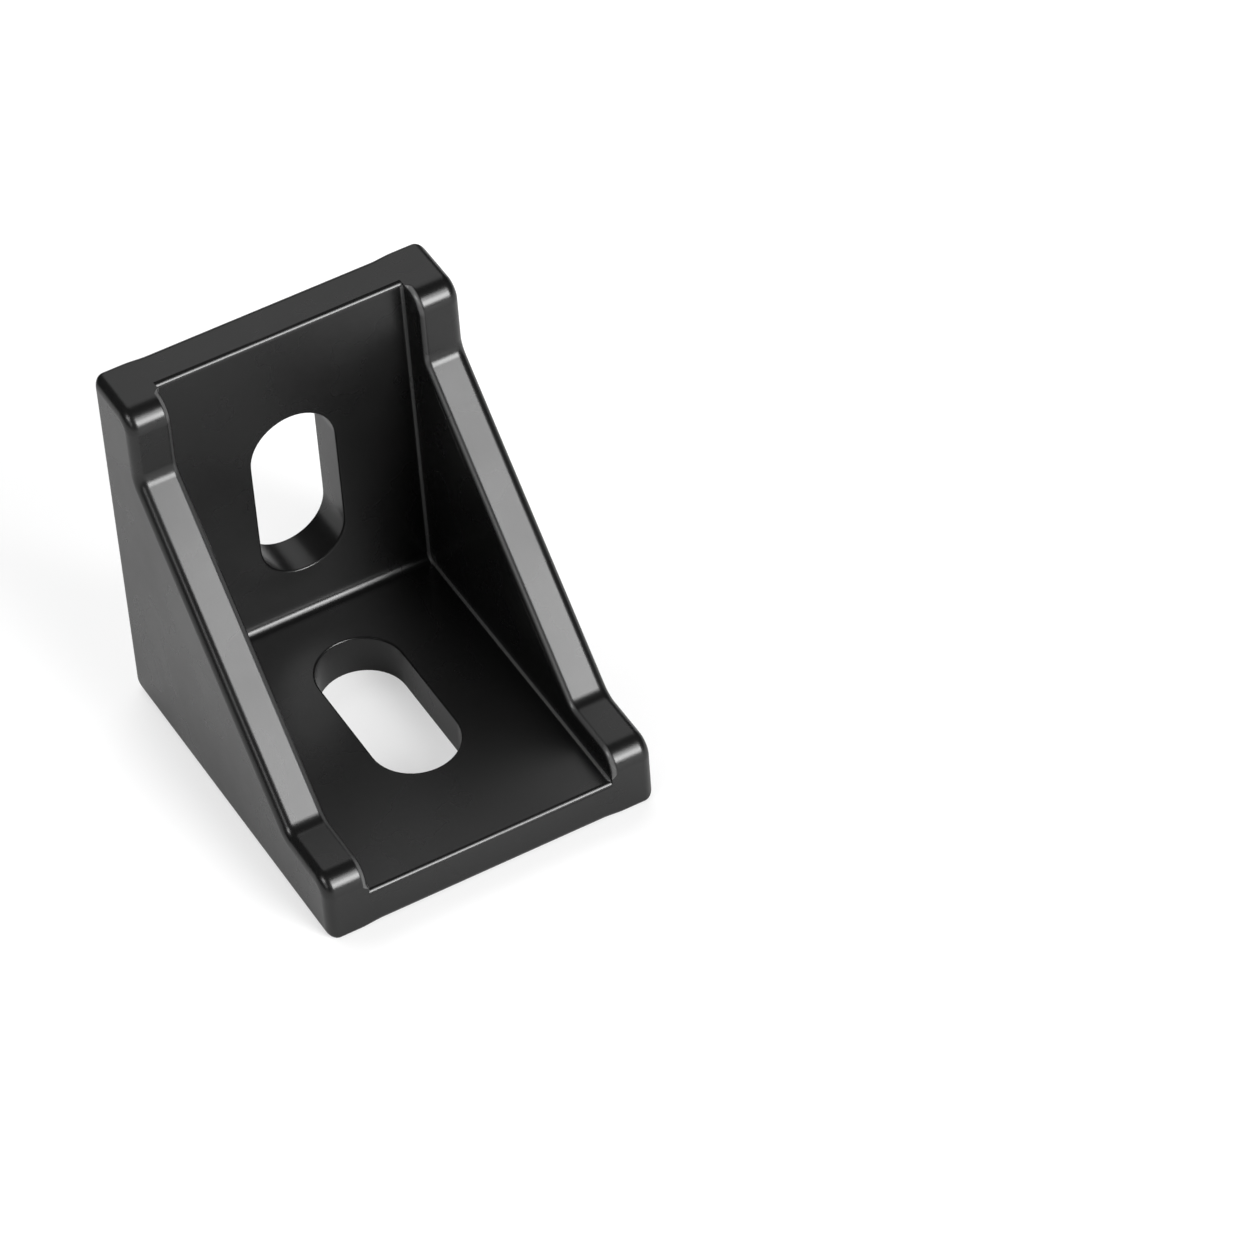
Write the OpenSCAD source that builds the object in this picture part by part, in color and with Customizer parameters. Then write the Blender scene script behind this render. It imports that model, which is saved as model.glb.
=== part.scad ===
// Corner bracket for slotted framing profiles: two slotted plates at a right angle,
// joined by a cheek on each side, cast as one piece.
// The base leg lies on z = 0 and runs towards -Y; the wall leg rises along +Z.
// The origin is the middle of the base slot, on the base's outer face.

/* [Body] */
// Length of each leg, from the outer corner to its end
leg_length = 40; // [36:0.5:60]
// Width across both cheeks
width = 34.4; // [28:0.2:50]
// Thickness of the base and wall plates
plate_thickness = 4.5; // [3.6:0.1:6]
// Thickness of each cheek
cheek_thickness = 4.4; // [2.5:0.1:5.5]

/* [Ears] */
// Height of an ear, measured from the outer face of its leg
ear_height = 7.6; // [7:0.1:10]
// Length of an ear along its leg
ear_length = 7.7; // [5.5:0.1:11]
// Radius of the nose at the tip of an ear
nose_radius = 2.2; // [1:0.1:3]
// Radius of the bend where an ear runs into the slanting edge
bend_radius = 2; // [1:0.1:4]

/* [Slots] */
// Width of the bolt slot in each plate
slot_width = 8.8; // [6:0.1:11]
// How far the middle of each slot lies short of the middle of its leg
slot_setback = 0.3; // [0:0.05:0.5]
// Web of plate between the end of a slot and the recess of a key
recess_web = 1.2; // [1:0.1:1.6]

/* [Groove keys] */
// Width of the recess that holds a key
recess_width = 14.7; // [10:0.1:18]
// Length of a recess along the leg
recess_length = 5.9; // [5:0.1:7]
// Distance from the lower recess to the outer corner
recess_margin = 2.9; // [2:0.1:3.5]
// Depth of a recess
recess_depth = 2.4; // [1:0.1:2.8]
// Width of a key, across the groove it drops into
key_width = 6.3; // [5:0.1:8.2]
// How far a key stands out of the wall's outer face
key_height = 2.1; // [1:0.1:3]
// Thickness of a key at its tip, along the leg
key_tip = 2.3; // [1.5:0.1:3]
// Slant of a key's far side, from the outer face to the tip
key_far_slant = 0.45; // [0:0.05:0.8]
// Slant of a key's near side, from its root to the tip
key_near_slant = 1.1; // [0:0.1:1.2]

/* [Edges] */
// Radius of the edges around the outer face of each cheek
side_radius = 1.1; // [0.5:0.1:2]
// Radius of the outer corner, where the two plates meet
heel_radius = 1; // [0.3:0.1:1.2]
// Radius of the outer edge at the end of each cheek
cheek_end_radius = 0.5; // [0.2:0.1:1]
// Radius of the outer edge at the end of each plate
plate_end_radius = 0.8; // [0.2:0.1:1.5]
// Radius of the fillet between the two plates, inside
corner_fillet = 1; // [0.5:0.1:2]

/* [Hidden] */
$fn = 64;

// How far a cutter runs past the surface it clears
over = 1;
// How far a key roots in the metal around it
root = 0.5;

// Places along a leg: the middle of the slot from the outer corner, then the recesses and
// the slot's length from there
slot_centre = leg_length / 2 - slot_setback;
recess_far = slot_centre - recess_margin;
recess_near = recess_far - recess_length;
slot_length = 2 * (recess_near - recess_web);

pocket_width = width - 2 * cheek_thickness;

// How much of each straight edge a bend of 45 degrees takes up
bend_run = bend_radius * tan(22.5);
diagonal = sqrt(0.5);

// Sweeps a side view across the width. Its first axis is the distance from the wall's
// outer face, its second the height.
module across(span) {
    rotate([90, 0, -90]) linear_extrude(span, center = true) children();
}

// Waste at a square outer corner of an outline, which leaves it rounded.
// facing holds the signs of the quadrant that the corner points into.
module corner_waste(corner, facing, radius) {
    centre = corner - radius * facing;
    difference() {
        translate(centre) mirror([facing[0] < 0 ? 1 : 0, 0]) mirror([0, facing[1] < 0 ? 1 : 0])
            square(radius + over);
        translate(centre) circle(radius);
    }
}

// Metal in the hollow of the bend on the base leg's ear, in side view
module bend_patch() {
    start = [leg_length - ear_length + bend_run, ear_height];
    finish = [leg_length - ear_length, ear_height] + bend_run * diagonal * [-1, 1];
    centre = start + [0, bend_radius];
    difference() {
        polygon([start, centre, finish, finish - diagonal * [1, 1], start - [0, 1]]);
        translate(centre) circle(bend_radius);
    }
}

// Side view of a cheek
module cheek_outline() {
    shoulder = leg_length - ear_length;
    difference() {
        polygon([[0, 0], [leg_length, 0], [leg_length, ear_height], [shoulder, ear_height],
                 [ear_height, shoulder], [ear_height, leg_length], [0, leg_length]]);
        corner_waste([leg_length, ear_height], [1, 1], nose_radius);
        corner_waste([ear_height, leg_length], [1, 1], nose_radius);
        corner_waste([leg_length, 0], [1, -1], cheek_end_radius);
        corner_waste([0, leg_length], [-1, 1], cheek_end_radius);
        corner_waste([0, 0], [-1, -1], heel_radius);
    }
    bend_patch();
    mirror([1, -1]) bend_patch();
}

// Side view of the space between the cheeks, and of the waste at the plates' outer edges
module pocket_outline() {
    reach = leg_length + over;
    fillet_centre = [1, 1] * (plate_thickness + corner_fillet);
    difference() {
        translate([1, 1] * plate_thickness) square(reach);
        difference() {
            translate(fillet_centre - [1, 1] * (corner_fillet + over))
                square(corner_fillet + over);
            translate(fillet_centre) circle(corner_fillet);
        }
    }
    corner_waste([leg_length, 0], [1, -1], plate_end_radius);
    corner_waste([0, leg_length], [-1, 1], plate_end_radius);
}

// The two corners at x = +width/2 and -width/2, at one end of a leg
module side_waste(end, facing) {
    corner_waste([width / 2, end], [1, facing], side_radius);
    corner_waste([-width / 2, end], [-1, facing], side_radius);
}

// The casting before its slots, recesses and keys
module casting() {
    long = leg_length + 2 * over;
    difference() {
        across(width) cheek_outline();
        across(pocket_width) pocket_outline();
        // Edges that run up the wall and up the front end
        translate([0, 0, -over]) linear_extrude(long) {
            side_waste(0, 1);
            side_waste(-leg_length, -1);
        }
        // Edges that run along the base and along the top end
        translate([0, over, 0]) rotate([90, 0, 0]) linear_extrude(long) {
            side_waste(0, -1);
            side_waste(leg_length, 1);
        }
    }
}

// Cutter for a slot through a plate that lies on z = 0, with the slot along y
module slot_cut() {
    end_offset = (slot_length - slot_width) / 2;
    depth = plate_thickness + 2 * over;
    translate([0, 0, -over]) {
        for (side = [-1, 1])
            translate([0, side * end_offset, 0]) cylinder(h = depth, d = slot_width);
        translate([-slot_width / 2, -end_offset, 0])
            cube([slot_width, 2 * end_offset, depth]);
    }
}

// Cutter for the recess above the wall slot, or below it where way is -1
module recess_cut(way) {
    middle = way * (recess_near + recess_far) / 2;
    translate([-recess_width / 2, -recess_depth, middle - recess_length / 2])
        cube([recess_width, recess_depth + over, recess_length]);
}

// Key in that recess. Its far side starts flush with the recess.
module key(way) {
    tip_far = recess_far - key_far_slant;
    tip_near = tip_far - key_tip;
    across(key_width)
        polygon([[-key_height, way * tip_near], [-key_height, way * tip_far],
                 [0, way * recess_far], [root, way * (recess_far + root)],
                 [recess_depth + root, way * (recess_far + root)],
                 [recess_depth + root, way * (tip_near - key_near_slant)]]);
}

module bracket() {
    color("#2a2a2c") translate([0, slot_centre, 0]) {
        difference() {
            casting();
            translate([0, -slot_centre, 0]) slot_cut();
            translate([0, 0, slot_centre]) rotate([90, 0, 0]) slot_cut();
            translate([0, 0, slot_centre])
                for (way = [-1, 1]) recess_cut(way);
        }
        translate([0, 0, slot_centre])
            for (way = [-1, 1]) key(way);
    }
}

bracket();
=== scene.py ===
# %% [markdown]
# # Corner bracket for slotted profile
# This is a small die-cast bracket that joins two bars of slotted profile at a right angle.
# It is one casting with a black satin coat: a base plate and a wall plate, each with a
# slot for a bolt, and a cheek on each side that ties the two together. Keys on the outer
# face of the wall drop into the groove of the bar, so that the bracket can't turn.
#
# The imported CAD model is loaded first. It gives the place, the size and the physics.
# What it lacks are the soft edges that every casting has, and they are what catches the
# light here, so this script builds the same shape again with each edge rounded.

# %% Load the frame
import math

import bmesh
import bpy
import numpy as np
from mathutils import Matrix, Vector


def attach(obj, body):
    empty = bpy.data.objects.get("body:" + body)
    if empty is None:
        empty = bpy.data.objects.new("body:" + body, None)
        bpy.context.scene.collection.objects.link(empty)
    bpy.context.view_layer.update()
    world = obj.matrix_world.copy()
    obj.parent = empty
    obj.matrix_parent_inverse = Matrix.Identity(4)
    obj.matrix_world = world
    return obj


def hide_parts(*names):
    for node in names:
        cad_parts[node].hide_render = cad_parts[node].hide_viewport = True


# Sizes are written in millimetres and handed to Blender in metres
METRE = 1000
NODE = "bracket"

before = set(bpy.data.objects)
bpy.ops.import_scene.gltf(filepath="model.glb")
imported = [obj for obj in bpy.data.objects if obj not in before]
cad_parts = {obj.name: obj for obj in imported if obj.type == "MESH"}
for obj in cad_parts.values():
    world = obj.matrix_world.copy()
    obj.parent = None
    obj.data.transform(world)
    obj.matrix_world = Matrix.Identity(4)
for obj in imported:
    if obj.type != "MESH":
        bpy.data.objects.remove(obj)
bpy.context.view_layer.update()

# %% [markdown]
# ## Sizes
# A bracket like this is drawn from its side view: an L for the two plates, and a cheek
# that fills the angle of the L and ends in an ear on each leg. So every point gets three
# numbers in millimetres: x across the width, u along the base away from the wall's outer
# face, and v up the wall. The L is the same along both legs, which halves the work.

# %% Sizes in millimetres
LEG = 40.0
WIDTH = 34.4
PLATE = 4.5
CHEEK = 4.4
INNER = WIDTH / 2 - CHEEK

EAR_HEIGHT = 7.6
EAR_LENGTH = 7.7
SHOULDER = LEG - EAR_LENGTH

SLOT_WIDTH = 8.8
SLOT_LENGTH = 19.4
SLOT_SETBACK = 0.3
SLOT_CENTRE = LEG / 2 - SLOT_SETBACK

print("slots at", SLOT_CENTRE, "mm from the corner, pocket", 2 * INNER, "mm wide")

# %% [markdown]
# ## Round radii
# Molten metal can't fill a knife edge, and a die can't be cut with one, so a casting has
# a radius everywhere. The edges of the cheeks are the softest, because they were tumbled
# after casting. Along the end of each leg the outer edge is a little rounder on the plate
# than on the cheeks, and one radius eases into the other.

# %% Radii in millimetres
# Cheeks: outer edge, inner edge, and the hollow at their foot
SIDE_ROUND = 1.1
INNER_ROUND = 0.75
FILLET = 0.35

# Side view: tip of an ear, bend behind it, outer corner of the two plates
NOSE = 2.2
BEND = 2.0
HEEL_ROUND = 1.0

# Outer edge at a leg's end, and the width over which one radius eases into the other
CHEEK_END_ROUND = 0.5
PLATE_END_ROUND = 0.8
END_EASE = 2.4

# Plates: inner edge of the rim, hollow between the two, rims of slots and keys
RIM_ROUND = 0.5
CORNER_FILLET = 1.0
FINE_ROUND = 0.2
print("largest radius", NOSE, "mm, smallest", FINE_ROUND, "mm")

# %% [markdown]
# ## A closed outline with round corners
# Both side views are polygons whose corners are arcs, and the cheek's is needed many
# times, a little smaller each time, as its outer edge rounds over. One function gives
# them all. It insets each side, finds the new corner on the mitre, and turns it on an
# arc that touches both sides.

# %% Outline with round corners


def outline(corners, radii, steps, inset=0.0):
    """Points and outward normals along a closed polygon with round corners.

    With n1 and n2 the outward normals of the sides that meet, the mitre is
    (n1 + n2) / (1 + n1.n2). The corner moves inwards by the inset times the mitre, and
    the arc's centre lies a further radius times the mitre inside, or outside where the
    corner is hollow. The arc's points are its centre plus or minus the radius times a
    normal that turns evenly from n1 to n2.
    """
    corners = np.asarray(corners, dtype=float)
    sides = np.roll(corners, -1, axis=0) - corners
    sides /= np.linalg.norm(sides, axis=1)[:, None]
    leaving = np.stack([-sides[:, 1], sides[:, 0]], axis=1)
    arriving = np.roll(leaving, 1, axis=0)
    points = []
    normals = []
    for corner, before, after, radius, count in zip(corners, arriving, leaving, radii, steps):
        mitre = (before + after) / (1 + before @ after)
        turn = math.atan2(before[0] * after[1] - before[1] * after[0], before @ after)
        side = -1.0 if turn > 0 else 1.0
        angles = turn * np.linspace(0, 1, count + 1)
        normal = np.stack([
            before[0] * np.cos(angles) - before[1] * np.sin(angles),
            before[0] * np.sin(angles) + before[1] * np.cos(angles),
        ], axis=1)
        centre = corner - (inset + side * radius) * mitre
        points.append(centre + side * radius * normal)
        normals.append(normal)
    return np.concatenate(points), np.concatenate(normals)


# %% [markdown]
# ## The two side views
# The cheek's outline runs from the heel up the wall's outer face, round the ear at the
# top, down the slanting edge, round the ear in front, and back along the base. Insetting
# a round corner makes its radius smaller and a hollow one larger. The heel and the ends
# are tighter than the inset is deep, so they close to half their radius instead.

# %% Side views of cheek and plates
CLOSING = 0.5
ARC_STEPS = 12
NOSE_STEPS = 14
BEND_STEPS = 8
END_STEPS = 6
END_POINTS = END_STEPS + 1

CHEEK_CORNERS = [
    (0, 0), (0, LEG), (EAR_HEIGHT, LEG), (EAR_HEIGHT, SHOULDER), (SHOULDER, EAR_HEIGHT),
    (LEG, EAR_HEIGHT), (LEG, 0),
]
CHEEK_STEPS = [END_STEPS, END_STEPS, NOSE_STEPS, BEND_STEPS, BEND_STEPS, NOSE_STEPS, END_STEPS]
PLATE_CORNERS = [(PLATE, LEG), (PLATE, PLATE), (LEG, PLATE), (LEG, 0), (0, 0), (0, LEG)]
PLATE_RADII = [RIM_ROUND, CORNER_FILLET, RIM_ROUND, 0, 0, 0]
PLATE_STEPS = [ARC_STEPS, ARC_STEPS, ARC_STEPS, 0, 0, 0]
PLATE_ARCS = 3
ARC_POINTS = ARC_STEPS + 1


def cheek_outline(inset=0.0):
    """The cheek's side view, inset from its full size."""
    closing = 1 - CLOSING * inset / SIDE_ROUND
    end = CHEEK_END_ROUND * closing
    nose = NOSE - inset
    bend = BEND + inset
    radii = [HEEL_ROUND * closing, end, nose, bend, bend, nose, end]
    return outline(CHEEK_CORNERS, radii, CHEEK_STEPS, inset)


cheek_points, cheek_normals = cheek_outline()
plate_points, plate_normals = outline(PLATE_CORNERS, PLATE_RADII, PLATE_STEPS)
print(len(cheek_points), "points round a cheek,", len(plate_points), "round the plates")

# %% [markdown]
# ## Collecting surfaces
# The casting is made of patches that meet edge to edge: grids where a profile is swept
# along an outline, and flat faces with a polygon each. They are collected here, each
# with its mirror image in x, and welded at the end. A swept patch is a whole array of
# rows, so nothing is placed point by point.

# %% Patches and their mirror images
TO_MIDDLE = (0, 1, 1)
patches = []


def place(x, side_view):
    """Joins x to (u, v) points of the side view."""
    side_view = np.asarray(side_view, dtype=float)
    x = np.broadcast_to(x, side_view.shape[:-1])
    return np.concatenate([x[..., None], side_view], axis=-1)


def on_leg(leg, x, along, depth):
    """Points (x, u, v) on the wall or the base, from distances along and into the leg."""
    x, along, depth = np.broadcast_arrays(x, along, depth)
    pair = (depth, along) if leg == "wall" else (along, depth)
    return np.stack([x, *pair], axis=-1).astype(float)


def add_grid(grid):
    """Takes a grid of points, rows by columns, and fills it with four-sided faces."""
    rows, columns = grid.shape[:2]
    index = np.arange(rows * columns).reshape(rows, columns)
    faces = np.stack([index[:-1, :-1], index[:-1, 1:], index[1:, 1:], index[1:, :-1]], axis=-1)
    for flip in (1, -1):
        patches.append((grid.reshape(-1, 3) * (flip, 1, 1), faces.reshape(-1, 4).tolist()))


def add_face(loop):
    """Takes the corners of one flat face, in order."""
    loop = np.asarray(loop, dtype=float)
    for flip in (1, -1):
        patches.append((loop * (flip, 1, 1), [list(range(len(loop)))]))


def ease(fraction):
    """Runs smoothly from 0 to 1: with t kept between 0 and 1, it is t t (3 - 2 t)."""
    fraction = np.clip(fraction, 0, 1)
    return fraction * fraction * (3 - 2 * fraction)


# %% [markdown]
# ## The cheek's outer edge
# The outer edge of the cheek rounds over from the flat face to the band that the eye
# follows from ear to ear. In section it is a quarter circle: as the sweep turns through
# a right angle, x falls from the outer face by R (1 - cos) and the outline grows to its
# full size by R (1 - sin). Each row is the whole closed outline, inset by that much.

# %% Outer edge of the cheek
ROUND_STEPS = 8
quarter = np.linspace(0, math.pi / 2, ROUND_STEPS + 1)
BAND_EDGE = WIDTH / 2 - SIDE_ROUND

outer_rows = np.stack([
    place(WIDTH / 2 - SIDE_ROUND * (1 - math.cos(angle)),
          cheek_outline(SIDE_ROUND * (1 - math.sin(angle)))[0])
    for angle in quarter
])
closed = np.concatenate([outer_rows, outer_rows[:, :1]], axis=1)
add_grid(closed)
add_face(outer_rows[0])
print(len(outer_rows), "rows of", outer_rows.shape[1], "points round the outer edge")

# %% [markdown]
# ## The cheek's inner edge
# On the pocket's side the edge starts from nothing above the plate's inner face, widens
# quickly along the flat end of the leg, and keeps its full radius round the ears and down
# the slant. The flat stretches need points of their own, so that the radius can grow.

# %% Inner edge of the cheek
GROWTH_STEPS = 8
RAMP_POINTS = GROWTH_STEPS + 1
nose_start = EAR_HEIGHT - NOSE
growth_start = PLATE + FILLET

# Depths across the flat end of a leg, and the share of the full radius at each
steps = np.linspace(PLATE, nose_start, GROWTH_STEPS + 1)[:-1]
across_end = np.concatenate([[PLATE - RIM_ROUND], steps])
share = np.clip((across_end - growth_start) / (nose_start - growth_start), 0, 1)
growing = np.sin(share * math.pi / 2)
top_end = np.stack([across_end, np.full(RAMP_POINTS, LEG)], axis=1)
band = slice(2 * END_POINTS, -END_POINTS)

inner_line = np.concatenate([top_end, cheek_points[band], top_end[::-1, ::-1]])
inner_facing = np.concatenate([
    np.tile((0.0, 1.0), (RAMP_POINTS, 1)), cheek_normals[band],
    np.tile((1.0, 0.0), (RAMP_POINTS, 1)),
])
growth = np.concatenate([growing, np.ones(len(cheek_points[band])), growing[::-1]])
edge_radii = INNER_ROUND * growth
edge_rows = np.stack([
    place(INNER + edge_radii * (1 - math.sin(angle)),
          inner_line - inner_facing * (edge_radii * (1 - math.cos(angle)))[:, None])
    for angle in quarter
])
add_grid(edge_rows)

# The band between the two edges, from ear to ear
band_row = outer_rows[-1, band]
add_grid(np.stack([band_row, edge_rows[0, RAMP_POINTS:-RAMP_POINTS]]))
print(len(inner_line), "points along the inner edge")

# %% [markdown]
# ## Fillet and inner face
# Where the cheek meets the plates there is a hollow quarter circle, much tighter than the
# outside edges, because in the die it was a sharp edge that wore a little. It too starts
# from nothing, on the plate's rim. Between edge and fillet lies the cheek's inner face,
# which is flat, so it is one polygon with the two sweeps as its border.

# %% Fillet and inner face
inside = slice(0, PLATE_ARCS * ARC_POINTS)
plate_line = plate_points[inside]
plate_facing = plate_normals[inside]
rim_share = np.linspace(0, 1, ARC_POINTS)
rim_growth = rim_share * ease(rim_share)
fillet_radii = FILLET * np.concatenate([rim_growth, np.ones(ARC_POINTS), rim_growth[::-1]])
fillet_rows = np.stack([
    place(INNER - fillet_radii * (1 - math.cos(angle)),
          plate_line + plate_facing * (fillet_radii * (1 - math.sin(angle)))[:, None])
    for angle in quarter
])
add_grid(fillet_rows)
add_face(np.concatenate([edge_rows[-1], fillet_rows[0, ::-1]]))
print(fillet_rows.shape[1], "points along the fillet")

# %% [markdown]
# ## Between the cheeks
# The plates' rims, the fillet in the corner and the heel run straight across, from cheek
# to cheek. At each end of the L the outer edge runs across the whole width: its radius
# eases from the cheek's to the plate's, which leaves the faint waist in the outline that
# such castings have there.

# %% Strips across the width
EASE_POINTS = 13

for arc in range(PLATE_ARCS):
    columns = slice(arc * ARC_POINTS, (arc + 1) * ARC_POINTS)
    strip = fillet_rows[-1, columns]
    add_grid(np.stack([strip, strip * TO_MIDDLE]))

heel_row = outer_rows[-1, :END_POINTS]
add_grid(np.stack([heel_row, heel_row * TO_MIDDLE]))

easing = INNER + END_EASE * np.linspace(0.5, -0.5, EASE_POINTS)
end_x = np.concatenate([[BAND_EDGE], easing, [0.0]])
softening = ease((INNER + END_EASE / 2 - end_x) / END_EASE)
end_radii = CHEEK_END_ROUND + (PLATE_END_ROUND - CHEEK_END_ROUND) * softening
end_turn = np.linspace(0, math.pi / 2, END_POINTS)
end_edges = {}
for leg in ("wall", "base"):
    end_edges[leg] = on_leg(
        leg,
        end_x[:, None],
        LEG - end_radii[:, None] * (1 - np.sin(end_turn)),
        end_radii[:, None] * (1 - np.cos(end_turn)),
    )
    add_grid(end_edges[leg])

    # The flat end: along the round edge, across at the nose, back along the inner edge
    ramp = edge_rows[0, RAMP_POINTS::-1] if leg == "wall" else edge_rows[0, -RAMP_POINTS - 1:]
    add_face(np.concatenate([
        end_edges[leg][::-1, -1],
        on_leg(leg, np.array([BAND_EDGE]), LEG, nose_start),
        ramp,
        on_leg(leg, np.array([0.0]), LEG, PLATE - RIM_ROUND),
    ]))
print("end radius from", end_radii.min(), "to", end_radii.max(), "mm")

# %% [markdown]
# ## Slots
# Each slot was cored out by a pin in the die, so its wall is straight. It is a row of
# points swept through the plate. Half of it is drawn, because every patch is mirrored.
# On a leg, a point is given by x, its distance along the leg, and its depth under the
# outer face.

# %% Slots and the inner faces around them
half_turn = np.linspace(0, math.pi / 2, ARC_STEPS + 1)
slot_radius = SLOT_WIDTH / 2
slot_reach = SLOT_LENGTH / 2 - slot_radius
slot_x = slot_radius * np.concatenate([np.sin(half_turn), np.cos(half_turn)])
slot_along = SLOT_CENTRE + np.concatenate([
    -slot_reach - slot_radius * np.cos(half_turn),
    slot_reach + slot_radius * np.sin(half_turn),
])

for leg in ("wall", "base"):
    add_grid(np.stack([on_leg(leg, slot_x, slot_along, depth) for depth in (0, PLATE)]))

    # The inner face runs from the corner's fillet to the rim of the plate
    near, far = PLATE + CORNER_FILLET, LEG - RIM_ROUND
    side = INNER - FILLET
    add_face(np.concatenate([
        on_leg(leg, np.array([0, side, side, 0]), np.array([far, far, near, near]), PLATE),
        on_leg(leg, slot_x, slot_along, PLATE),
    ]))
print("slots", SLOT_WIDTH, "mm wide and", SLOT_LENGTH, "mm long")

# %% [markdown]
# ## Keys on the wall's outer face
# A key sits in a shallow recess at each end of the wall's slot and drops into the groove
# of the bar. Its far side is flush with the recess and leans in a little, its near side
# leans more, and both leans are there to let the casting out of the die. Distances are
# from the middle of the slot, and way is 1 for the upper key and -1 for the lower one.

# %% Keys and their recesses
RECESS_MARGIN = 2.9
RECESS_LENGTH = 5.9
RECESS_WIDTH = 14.7
RECESS_HALF = RECESS_WIDTH / 2
RECESS_DEPTH = 2.4
KEY_WIDTH = 6.3
KEY_HALF = KEY_WIDTH / 2
KEY_HEIGHT = 2.1
KEY_TIP = 2.3
FAR_LEAN = 0.45
NEAR_LEAN = 1.1

recess_far = SLOT_CENTRE - RECESS_MARGIN
recess_near = recess_far - RECESS_LENGTH
tip_far = recess_far - FAR_LEAN
tip_near = tip_far - KEY_TIP
root_near = tip_near - NEAR_LEAN


def add_wall_face(way, corners):
    """One flat face by the key: corners are (x, distance from the slot, depth)."""
    x, distance, depth = np.array(corners, dtype=float).T
    add_face(on_leg("wall", x, SLOT_CENTRE + way * distance, depth))


for way in (1, -1):
    floor = RECESS_DEPTH
    tip = -KEY_HEIGHT
    # The recess: its side, its near and far walls, and its floor
    add_wall_face(way, [(RECESS_HALF, recess_near, 0), (RECESS_HALF, recess_far, 0),
                        (RECESS_HALF, recess_far, floor), (RECESS_HALF, recess_near, floor)])
    add_wall_face(way, [(0, recess_near, 0), (RECESS_HALF, recess_near, 0),
                        (RECESS_HALF, recess_near, floor), (0, recess_near, floor)])
    add_wall_face(way, [(KEY_HALF, recess_far, 0), (RECESS_HALF, recess_far, 0),
                        (RECESS_HALF, recess_far, floor), (KEY_HALF, recess_far, floor)])
    add_wall_face(way, [(0, recess_near, floor), (RECESS_HALF, recess_near, floor),
                        (RECESS_HALF, recess_far, floor), (KEY_HALF, recess_far, floor),
                        (KEY_HALF, root_near, floor), (0, root_near, floor)])
    # The key: its side, its near side, its tip and its far side
    add_wall_face(way, [(KEY_HALF, recess_far, 0), (KEY_HALF, recess_far, floor),
                        (KEY_HALF, root_near, floor), (KEY_HALF, tip_near, tip),
                        (KEY_HALF, tip_far, tip)])
    add_wall_face(way, [(0, root_near, floor), (KEY_HALF, root_near, floor),
                        (KEY_HALF, tip_near, tip), (0, tip_near, tip)])
    add_wall_face(way, [(0, tip_near, tip), (KEY_HALF, tip_near, tip),
                        (KEY_HALF, tip_far, tip), (0, tip_far, tip)])
    add_wall_face(way, [(0, tip_far, tip), (KEY_HALF, tip_far, tip),
                        (KEY_HALF, recess_far, 0), (0, recess_far, 0)])
print("keys", KEY_WIDTH, "mm wide, standing out by", KEY_HEIGHT, "mm")

# %% [markdown]
# ## Outer faces
# Each outer face is one polygon on each side of the middle. Its border follows the round
# edge at the leg's end, the round side edge and the heel, then comes back along the
# middle, round half of the slot and, on the wall, round half of each recess.

# %% Outer faces of the two legs


def recess_border(way):
    """Half of the recess's mouth, from the slot's side to the far side of the key."""
    x = np.array([0, RECESS_HALF, RECESS_HALF, KEY_HALF, 0])
    distance = np.array([recess_near, recess_near, recess_far, recess_far, recess_far])
    return on_leg("wall", x, SLOT_CENTRE + way * distance, 0)


for leg in ("wall", "base"):
    heel_x = np.array([BAND_EDGE, 0.0])
    slot_border = on_leg(leg, slot_x, slot_along, 0)
    border = [end_edges[leg][::-1, 0], on_leg(leg, heel_x, HEEL_ROUND, 0)]
    if leg == "wall":
        border += [recess_border(-1)[::-1], slot_border, recess_border(1)]
    else:
        border += [slot_border]
    add_face(np.concatenate(border))

print(len(patches), "patches")

# %% [markdown]
# ## Weld the patches into one casting
# The patches share their borders, so merging points that coincide closes the shell. The
# normals are worked out again afterwards, because the mirrored half came out inside out.
# A count of the edges that don't join exactly two faces shows that nothing is open. The
# sharp edges that the die cut are marked on the way: the rims of the slots, the recesses
# and the keys, which all lie near the middle. A swept edge that starts from nothing has a
# short sharp stretch before it, and then all its rows meet in one point, a pole. No one
# normal suits the faces around such a place, so the edges there are marked sharp, which
# lets each face keep its own.

# %% Build and weld the mesh
WELD = 0.002 / METRE
SHARP_TURN = math.radians(40)
RIM_SLACK = 0.1
RIM_REACH = (RECESS_HALF + RIM_SLACK) / METRE
POLE_EDGES = 8

vertices = []
faces = []
for points, patch_faces in patches:
    start = sum(len(done) for done in vertices)
    vertices.append(points)
    faces += [[start + corner for corner in face] for face in patch_faces]
x, u, v = np.concatenate(vertices).T
in_frame = np.stack([x, SLOT_CENTRE - u, v], axis=1) / METRE

mesh = bpy.data.meshes.new("bracket_casting")
mesh.from_pydata(in_frame.tolist(), [], faces)
shell = bmesh.new()
shell.from_mesh(mesh)
bmesh.ops.remove_doubles(shell, verts=shell.verts, dist=WELD)
bmesh.ops.recalc_face_normals(shell, faces=shell.faces)
open_edges = sum(len(edge.link_faces) != 2 for edge in shell.edges)
volume = shell.calc_volume() * METRE ** 3

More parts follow.
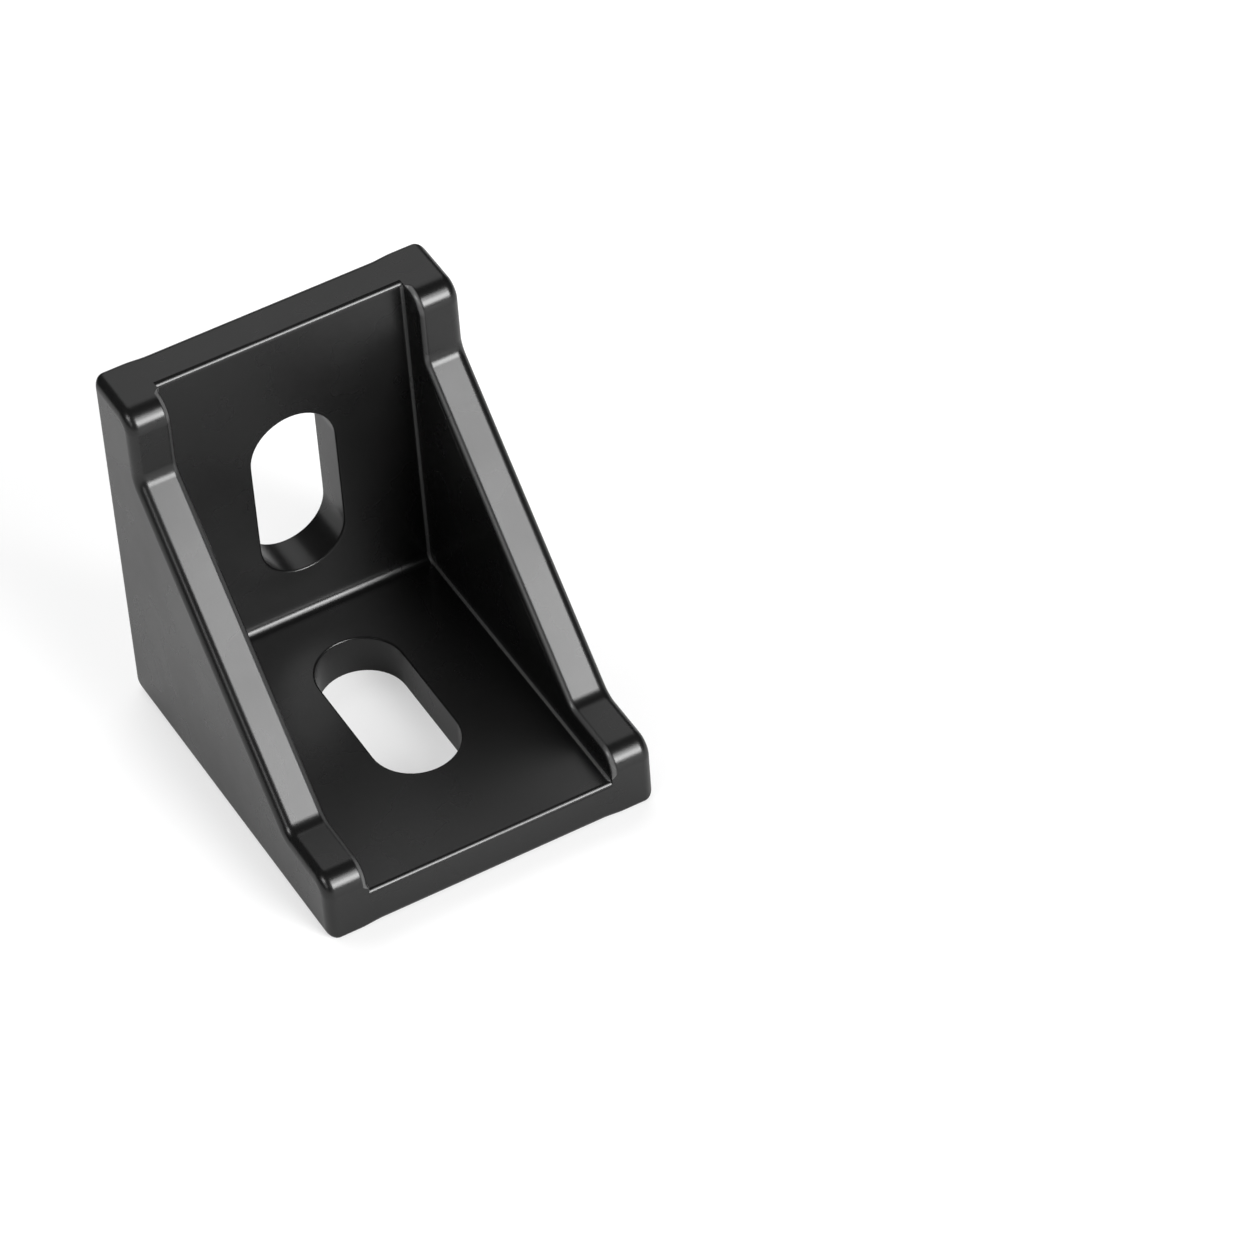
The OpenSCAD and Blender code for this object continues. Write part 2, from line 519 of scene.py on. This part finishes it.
marks = shell.edges.layers.float.new("bevel_weight_edge")
for edge in shell.edges:
    if edge.calc_face_angle(0) > SHARP_TURN:
        near_middle = max(abs(corner.co.x) for corner in edge.verts) < RIM_REACH
        edge[marks] = float(near_middle)
        edge.smooth = near_middle
marked = sum(edge[marks] > 0 for edge in shell.edges)
poles = [corner for corner in shell.verts if len(corner.link_edges) > POLE_EDGES]
for pole in poles:
    for edge in pole.link_edges:
        edge.smooth = False
shell.to_mesh(mesh)
shell.free()
mesh.shade_smooth()
casting = bpy.data.objects.new("bracket_casting", mesh)
bpy.context.scene.collection.objects.link(casting)
print(len(mesh.polygons), "faces,", open_edges, "open edges,", marked, "rim edges,", len(poles),
      "poles, volume", round(volume, 1), "mm3")

# %% [markdown]
# ## Painted highlights in the fillets and on the inner edges
# A grey line is painted into the coat's colour as a highlight: along the fillets beside
# the cheeks, and along the cheeks' inner edges, most of all round the noses of the ears.
# A value on each point of the mesh says how strong the painted highlight is there, and
# the coat's material reads it. Only the inner rows of a sweep get a value, because from
# its border rows it would run out over the flat faces.

# %% Painted highlight in the fillets and on the inner edges
MARGIN = 0.01
# Strengths of the painted highlight: in the fillets, round the noses, and along the rest of the
# inner edges
FILLET_HIGHLIGHT = 0.25
NOSE_HIGHLIGHT = 0.28
EDGE_HIGHLIGHT = 0.12
LINE_START = 0.25
LINE_END = 0.65
NOSE_TOP = NOSE / 4

coordinates = np.empty(3 * len(mesh.vertices))
mesh.vertices.foreach_get("co", coordinates)
x, y, z = METRE * coordinates.reshape(-1, 3).T
depth = np.minimum(SLOT_CENTRE - y, z)
past_face = np.abs(x) - INNER
beside = np.abs(past_face + FILLET / 2) < FILLET / 2 - MARGIN
above = (depth > PLATE + MARGIN) & (depth < PLATE + CORNER_FILLET / 2)

# On the inner edge, the painted highlight takes up the middle part of the edge's own radius
radius = INNER_ROUND * np.interp(depth, [*across_end, nose_start], [*growing, 1.0])
part_way = past_face / np.maximum(radius, MARGIN)
on_edge = (part_way > LINE_START) & (part_way < LINE_END) & (radius > MARGIN)
from_end = LEG - np.maximum(SLOT_CENTRE - y, z)
edge_highlight_level = np.interp(from_end, [NOSE_TOP, NOSE], [NOSE_HIGHLIGHT, EDGE_HIGHLIGHT])
# Each point's share of painted highlight, which the coat's material mixes in as grey
highlit = FILLET_HIGHLIGHT * (beside & above) + edge_highlight_level * on_edge
mesh.attributes.new("painted_highlight", "FLOAT", "POINT").data.foreach_set("value", highlit)
# The count is of the points that carry the painted highlight
print(np.count_nonzero(highlit), "points with a thin coat")

# %% [markdown]
# ## Fine edges
# A Bevel modifier rounds the marked rims and leaves the swept edges alone. The Weighted
# Normal modifier then lets the large flat faces keep their own direction, so that the
# shading doesn't bend next to a round edge.

# %% Bevel and shading
bevel = casting.modifiers.new("fine_edges", "BEVEL")
bevel.limit_method = "WEIGHT"
bevel.width = FINE_ROUND / METRE
bevel.segments = 3
flat = casting.modifiers.new("flat_faces", "WEIGHTED_NORMAL")
flat.weight = 100
flat.keep_sharp = True

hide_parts(NODE)
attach(casting, "root")
print(casting.name, "stands for", NODE, "with", len(casting.modifiers), "modifiers")

# %% [markdown]
# ## Colours and nodes
# Colours are written as they look on a screen, and Blender wants them linear, so one
# function turns one into the other. Another adds a node with its settings and its links
# in one call, and a third turns a feature's size into a texture's scale.

# %% Colours and nodes


def linear(hex_colour):
    """An sRGB hex colour as linear RGBA."""
    values = np.array([int(hex_colour[at:at + 2], 16) / 255 for at in (1, 3, 5)])
    low = values / 12.92
    high = ((values + 0.055) / 1.055) ** 2.4
    return (*np.where(values <= 0.04045, low, high).tolist(), 1.0)


def add_node(tree, kind, settings=None, links=None):
    """Adds a node. A key is a property's name, or an input's name or number."""
    node = tree.nodes.new(kind)
    for key, value in (settings or {}).items():
        if isinstance(key, int) or key in node.inputs:
            node.inputs[key].default_value = value
        else:
            setattr(node, key, value)
    for key, socket in (links or {}).items():
        tree.links.new(socket, node.inputs[key])
    return node


def per_metre(millimetres):
    """A noise texture's scale, from the size of its features: how many fit in a metre."""
    return METRE / millimetres


print("noise scale for 1 mm features:", per_metre(1.0))

# %% [markdown]
# ## Black coat
# The metal is die-cast aluminium under a thin black powder coat with a satin finish. To
# the eye that is a dark plastic skin: almost no colour of its own, a soft reflection,
# and a very fine unevenness left by the powder as it flowed. So the base colour is close
# to black, the metal doesn't show, and the detail is in roughness and bump. Cured powder
# has a gentle orange peel about a millimetre across, with a finer grain of melted powder
# on top of it. The grain is drawn coarser than the real 0.1 mm, so that it shows in a
# picture.

# %% Satin black powder coat
# Sizes and heights in millimetres
PEEL_SIZE = 1.4
PEEL_HEIGHT = 0.003
GRAIN_SIZE = 0.22
GRAIN_HEIGHT = 0.0012
CLOUD_SIZE = 7.0

coat = bpy.data.materials.new("satin_black_powder_coat")
coat.use_nodes = True
tree = coat.node_tree
shader = tree.nodes["Principled BSDF"]
shader.inputs["IOR"].default_value = 1.5

where = add_node(tree, "ShaderNodeTexCoord").outputs["Object"]
peel = add_node(tree, "ShaderNodeTexNoise", {"Scale": per_metre(PEEL_SIZE), "Detail": 1.0},
                {"Vector": where}).outputs["Fac"]
grain = add_node(tree, "ShaderNodeTexNoise", {"Scale": per_metre(GRAIN_SIZE), "Detail": 2.0},
                 {"Vector": where}).outputs["Fac"]
cloud = add_node(tree, "ShaderNodeTexNoise", {"Scale": per_metre(CLOUD_SIZE), "Detail": 3.0},
                 {"Vector": where}).outputs["Fac"]

# A satin sheen that is a little tighter where the powder flowed out better
roughness = add_node(
    tree, "ShaderNodeMapRange",
    {"From Min": 0.3, "From Max": 0.7, "To Min": 0.25, "To Max": 0.31}, {"Value": cloud})
tree.links.new(roughness.outputs["Result"], shader.inputs["Roughness"])

# Carbon black with the faintest mottle. Inputs 6 and 7 of a Mix node are its two colours.
colour = add_node(
    tree, "ShaderNodeMix",
    {"data_type": "RGBA", 6: linear("#0d0d0d"), 7: linear("#121212")}, {0: grain})
# The grey #949494 is a painted highlight, mixed into the coat's colour by the value that each
# point carries
painted_highlight = add_node(tree, "ShaderNodeAttribute", {"attribute_name": "painted_highlight"})
highlighted_colour = add_node(
    tree, "ShaderNodeMix", {"data_type": "RGBA", 7: linear("#949494")},
    {0: painted_highlight.outputs["Fac"], 6: colour.outputs[2]})
tree.links.new(highlighted_colour.outputs[2], shader.inputs["Base Color"])

# Orange peel first, grain on top of it. Distance is a height in metres.
waves = add_node(tree, "ShaderNodeBump",
                 {"Strength": 1.0, "Distance": PEEL_HEIGHT / METRE}, {"Height": peel})
texture = add_node(tree, "ShaderNodeBump",
                   {"Strength": 1.0, "Distance": GRAIN_HEIGHT / METRE},
                   {"Height": grain, "Normal": waves.outputs["Normal"]})
tree.links.new(texture.outputs["Normal"], shader.inputs["Normal"])
casting.data.materials.append(coat)
print(coat.name, "with", len(tree.nodes), "nodes")

# %% [markdown]
# ## Camera
# The bracket is seen from far off through a long lens, from above and from its left. The
# place and the lens come from fitting the corners of the real bracket, and the camera
# leans over by a few degrees. The frame is square, so the lens's length follows from the
# width of the sensor and the focal length in pixels.

# %% Camera
# The place is in millimetres, the angles in degrees
CAMERA_AT = (-192.618, -436.733, 485.738)
HEADING = 26.556
DOWNWARD = 44.798
LEAN = -4.331
FRAME_PIXELS = 1254
FOCAL_PIXELS = 7216.95
SENSOR = 36.0

camera_data = bpy.data.cameras.new("camera")
camera_data.sensor_fit = "HORIZONTAL"
camera_data.sensor_width = SENSOR
camera_data.lens = SENSOR * FOCAL_PIXELS / FRAME_PIXELS
camera_data.clip_start = 0.01
camera = bpy.data.objects.new("camera", camera_data)
turn = (Matrix.Rotation(math.radians(-HEADING), 4, "Z")
        @ Matrix.Rotation(math.radians(90 - DOWNWARD), 4, "X")
        @ Matrix.Rotation(math.radians(LEAN), 4, "Z"))
camera.matrix_world = Matrix.Translation(Vector(CAMERA_AT) / METRE) @ turn
bpy.context.scene.collection.objects.link(camera)
bpy.context.scene.camera = camera
print("lens", round(camera_data.lens, 1), "mm")

# %% [markdown]
# ## White table
# The bracket stands on a pale matt table that runs out of sight, so it takes the bracket's
# shadow. A glow is added to it for camera, glossy and transmission rays only. It lifts
# the table to white in the picture and, a little, in what the coat reflects, and it puts
# no more light on the bracket. The table lies a hair below the base's face, because two
# faces in one plane would show through each other when seen from below.

# %% Table
TABLE_SIZE = 6.0
TABLE_DROP = 0.02
GLOW_SEEN = 0.505
GLOW_REFLECTED = 0.16

bpy.ops.mesh.primitive_plane_add(size=TABLE_SIZE, location=(0, 0, -TABLE_DROP / METRE))
table = bpy.context.active_object
table.name = "table"
matt_white = bpy.data.materials.new("matt_white_table")
matt_white.use_nodes = True
tree = matt_white.node_tree
shader = tree.nodes["Principled BSDF"]
shader.inputs["Base Color"].default_value = linear("#b1b1b1")
shader.inputs["Roughness"].default_value = 0.7
shader.inputs["Emission Color"].default_value = linear("#ffffff")
rays = add_node(tree, "ShaderNodeLightPath").outputs
reflected = add_node(tree, "ShaderNodeMath", {"operation": "MAXIMUM"},
                     {0: rays["Is Glossy Ray"], 1: rays["Is Transmission Ray"]})
reflected = add_node(tree, "ShaderNodeMath", {"operation": "MULTIPLY", 1: GLOW_REFLECTED},
                     {0: reflected.outputs[0]})
glow = add_node(tree, "ShaderNodeMath", {"operation": "MULTIPLY_ADD", 1: GLOW_SEEN},
                {0: rays["Is Camera Ray"], 2: reflected.outputs[0]})
tree.links.new(glow.outputs[0], shader.inputs["Emission Strength"])
table.data.materials.append(matt_white)
print("table", TABLE_SIZE, "m across,", TABLE_DROP, "mm below the base")

# %% [markdown]
# ## Light
# One large softbox stands low in front, a little to the right, with a bright core that
# gives the noses of the ears their highlight, and a dimmer frame around it that gives the
# slanting edges their even sheen. Two small lights on the left give the cheek's outer face
# its sheen and the corners a glint. A pale panel behind lights the top end of the wall.
# Two wide fills, also behind, soften the shadow on the table. They are left out of
# reflections, so that the two plates stay dark.

# %% Softbox, small lights, panel and fills


def soft_light(name, azimuth, elevation, distance, width, height, level):
    """A rectangular area light that faces the bracket.

    The azimuth is in degrees from straight in front, towards the right. Distance, width
    and height are in metres. The power is pi times the level times the area, so lights of
    one level look equally bright, whatever their size.
    """
    data = bpy.data.lights.new(name, "AREA")
    data.shape = "RECTANGLE"
    data.size = width
    data.size_y = height
    data.energy = math.pi * level * width * height
    light = bpy.data.objects.new(name, data)
    around, up = math.radians(azimuth), math.radians(elevation)
    direction = Vector((math.sin(around) * math.cos(up), -math.cos(around) * math.cos(up),
                        math.sin(up)))
    light.location = direction * distance
    light.rotation_euler = direction.to_track_quat("Z", "Y").to_euler()
    bpy.context.scene.collection.objects.link(light)
    print(name, round(data.energy, 1), "W")
    return light


# Azimuth, elevation, distance, width, height and level of each
soft_light("softbox_core", 20, 26, 1.2, 0.55, 0.4, 11.5)
soft_light("softbox_frame", 20.5, 32, 1.25, 0.65, 0.86, 8)
soft_light("side_light", -52, 24, 1.2, 0.3, 0.3, 3)
soft_light("corner_light", -76, 40, 1.2, 0.5, 0.35, 7)
soft_light("back_panel", 153, 45, 1.2, 0.8, 0.8, 0.9)
fills = [soft_light("fill_back_left", -150, 40, 0.8, 0.9, 0.9, 2.2),
         soft_light("fill_back_right", 156, 40, 0.8, 0.9, 0.9, 1.2)]
for fill in fills:
    fill.visible_glossy = False

# %% [markdown]
# ## Room and view
# The rest of the room is nearly dark, so that the lights alone shape the bracket. The
# Standard view shows each colour as it was worked out.

# %% World and view
ROOM_LEVEL = 0.015
world = bpy.data.worlds.new("dim_studio")
bpy.context.scene.world = world
world.use_nodes = True
surround = world.node_tree.nodes["Background"]
surround.inputs["Color"].default_value = linear("#ffffff")
surround.inputs["Strength"].default_value = ROOM_LEVEL
bpy.context.scene.view_settings.view_transform = "Standard"
print("room at", ROOM_LEVEL, "with the Standard view")
